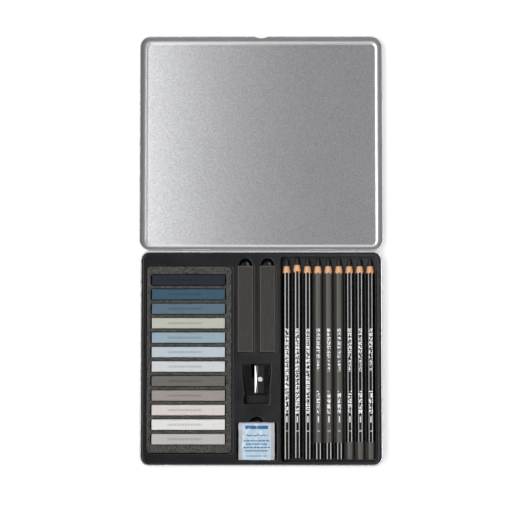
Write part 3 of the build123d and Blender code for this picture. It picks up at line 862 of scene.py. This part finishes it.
# %% Sharpener
blade_middle_y = -114.0
strip_edge_x = -4.2
strip_fade = 0.3
strip_curve = 0.008

black_plastic = Finish("black_plastic", IOR=1.5)
skin = black_plastic.noise(0.5, 2.0, 0.5)
scuffs = black_plastic.between(black_plastic.noise(2.5, 4.0, 0.7), 0.58, 0.7)
edge_painted_highlight = rim_of(black_plastic, "sharpener_body", 0.8)
# real scuffs, plus a painted highlight along the rim of the body
scuffs_and_painted_highlight = scuffs * 0.1 + edge_painted_highlight * 0.5
black_plastic.set("Base Color", black_plastic.mix(scuffs_and_painted_highlight, colour(4, 4, 5), colour(62, 62, 64)))
black_plastic.set("Roughness", black_plastic.between(skin, 0.3, 0.7, 0.16, 0.22) + scuffs * 0.12)
black_plastic.bump(skin, 0.02)
wear("sharpener_body", black_plastic)


def steel_finish(name, light, dark, smooth, rough, stretch, painted_darkening):
    """Bare steel with fine grinding lines; the last argument is how far its colour is painted dark
    right of the strip, as a painted reflection of the dark room.
    """
    steel = Finish(name, Metallic=1.0)
    grinding = steel.noise(0.3, 2.0, 0.6, stretch=stretch)
    x, y, _ = steel.axes()
    curve = (y - blade_middle_y) * (y - blade_middle_y) * strip_curve
    behind_strip = steel.between(x + curve, strip_edge_x, strip_edge_x + strip_fade)
    painted_dark_reflection = behind_strip * (grinding * 0.1 + painted_darkening)
    tone = steel.mix(grinding, light, dark)
    # painted reflection: right of the strip the steel's colour is painted dark, like the dark room
    # it mirrors
    steel.set("Base Color", steel.mix(painted_dark_reflection, tone, colour(16, 16, 17)))
    polish = steel.between(grinding, 0.3, 0.7, smooth, rough)
    steel.set("Roughness", polish + behind_strip * 0.12)
    steel.bump(grinding, 0.01)
    return steel


blade = steel_finish(
    "blade_steel", colour(190, 190, 191), colour(150, 151, 154),
    smooth=0.12, rough=0.2, stretch=(0.06, 1.0, 1.0), painted_darkening=0.84,
)
screw = steel_finish(
    "screw_steel", colour(240, 240, 240), colour(214, 214, 216),
    smooth=0.5, rough=0.6, stretch=(1.0, 1.0, 1.0), painted_darkening=0.0,
)
wear("sharpener_blade", blade)
wear("sharpener_screw", screw)
print("sharpener finished")

# %% [markdown]
# ## The kneadable eraser
# A soft square of putty lies in a crinkled sleeve of thin film, printed in pale blue. The putty is
# a cube that was subdivided, smoothed and pressed out of true. The sleeve is another, a little
# larger, left open along its seam below, creased with a cell texture and given a real thickness.
# No cloth run was made for it: a texture gives creases of the right size in one quick step, but
# they don't fold over each other as real film does.

# %% Putty
def soft_block(node_name, inset, cuts, rounds):
    """A cube of a node's size less an inset, subdivided and smoothed until its edges are round."""
    low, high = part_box(node_name)
    size = [b - a - 2 * inset * millimetre for a, b in zip(low, high)]
    middle = [(a + b) / 2 for a, b in zip(low, high)]
    bpy.ops.object.select_all(action="DESELECT")
    bpy.ops.mesh.primitive_cube_add(size=1.0, location=middle)
    block = bpy.context.object
    block.scale = size
    bpy.ops.object.transform_apply(location=True, rotation=True, scale=True)
    bpy.ops.object.mode_set(mode="EDIT")
    bpy.ops.mesh.select_all(action="SELECT")
    bpy.ops.mesh.subdivide(number_cuts=cuts)
    bpy.ops.object.mode_set(mode="OBJECT")
    modify(block, "SMOOTH", factor=0.5, iterations=rounds)
    return block


putty_block = soft_block("kneadable_eraser", inset=0.9, cuts=15, rounds=3)
kneading = relief("kneading", "CLOUDS", 9.0, noise_depth=1)
modify(putty_block, "DISPLACE", texture=kneading, strength=-0.8 * millimetre, mid_level=0.4)
bpy.ops.object.shade_smooth()
putty = Finish("putty", Roughness=0.8)
lumps = putty.noise(3.0, 3.0, 0.6)
putty.set("Base Color", putty.mix(lumps, colour(150, 152, 156), colour(190, 192, 196)))
putty.bump(lumps, 0.15)
putty_block.data.materials.append(putty.material)
settle(putty_block, "putty_block", "eraser", "putty", "kneadable_eraser")

# %% Film sleeve
seam_reach = 0.6

sleeve = soft_block("eraser_wrapper", inset=0.1, cuts=31, rounds=2)
wrap_low, wrap_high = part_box("eraser_wrapper")
wrap_middle = [(a + b) / 2 for a, b in zip(wrap_low, wrap_high)]
alone(sleeve)
bpy.ops.object.mode_set(mode="EDIT")
bpy.ops.mesh.select_mode(type="FACE")
bpy.ops.mesh.select_all(action="DESELECT")
bpy.ops.object.mode_set(mode="OBJECT")
for polygon in sleeve.data.polygons:
    below = polygon.normal.z < -0.9
    polygon.select = below and abs(polygon.center.x - wrap_middle[0]) < seam_reach * millimetre
bpy.ops.object.mode_set(mode="EDIT")
bpy.ops.mesh.delete(type="FACE")
bpy.ops.object.mode_set(mode="OBJECT")
creases = relief("film_creases", "VORONOI", 7.0, weight_1=-1.0, weight_2=1.0)
ripples = relief("film_ripples", "CLOUDS", 2.6, noise_depth=2)
modify(sleeve, "DISPLACE", texture=creases, strength=2.2 * millimetre, mid_level=0.25)
modify(sleeve, "DISPLACE", texture=ripples, strength=-0.45 * millimetre, mid_level=0.3)
modify(sleeve, "SOLIDIFY", thickness=0.05 * millimetre, offset=-1.0)
bpy.ops.object.shade_smooth()

# %% Printed film
film = Finish("film", IOR=1.5, Coat_Roughness=0.1)
film_x, film_y, _ = film.axes()
across = film_x - wrap_middle[0] / millimetre
down = wrap_high[1] / millimetre - film_y
top_margin = 1.6
seal_width = 12.2
wavy_row = 1

# Each row: distance down, half height, half length, dash length and ink.
print_rows = [
    (4.6, 1.6, 10.0, 200.0, (16, 104, 164)),
    (11.6, 0.5, 10.0, 6.0, (40, 110, 150)),
    (16.2, 0.7, 11.2, 3.4, (60, 128, 176)),
    (19.1, 0.7, 9.4, 2.6, (60, 128, 176)),
    (22.0, 0.7, 11.6, 3.1, (60, 128, 176)),
    (24.9, 0.7, 10.4, 2.4, (60, 128, 176)),
    (29.4, 0.7, 9.0, 3.0, (120, 170, 200)),
]
wave = film.maths("SINE", across * 1.3) * 0.4
field = film.between(film.maths("ABSOLUTE", across), seal_width, seal_width + 0.8, 1.0, 0.0)
field = field * (film.upward() > 0.5) * (down > top_margin)
mottle = film.noise(1.6, 3.0, 0.6)
tone = film.mix(field, colour(206, 210, 216), colour(188, 208, 224))
wrinkle = film.noise(4.5, 2.0, 0.5)
tone = film.mix(mottle * 0.3, tone, colour(236, 242, 246))
away = film.maths("ABSOLUTE", across)
for row_number, (row, half_height, half_length, dash, ink_colour) in enumerate(print_rows):
    lift = down - row if row_number != wavy_row else down - row + wave
    line = film.between(film.maths("ABSOLUTE", lift), half_height * 0.8, half_height, 1.0, 0.0)
    gaps = film.maths("FRACT", across / dash + 0.5 + 0.137 * row_number) > 0.16
    inked = line * (away < half_length) * gaps * field
    tone = film.mix(inked * 0.95, tone, colour(*ink_colour))
film.set("Base Color", tone)
film.set("Roughness", film.between(mottle, 0.3, 0.7, 0.12, 0.22))
film.set("Coat Weight", mottle * 0.5)
film.set("Alpha", field * 0.35 + 0.6)
film.bump(mottle * 0.06 + wrinkle * 0.9, 1.0)
sleeve.data.materials.append(film.material)
settle(sleeve, "film_sleeve", "eraser", "film", "eraser_wrapper")
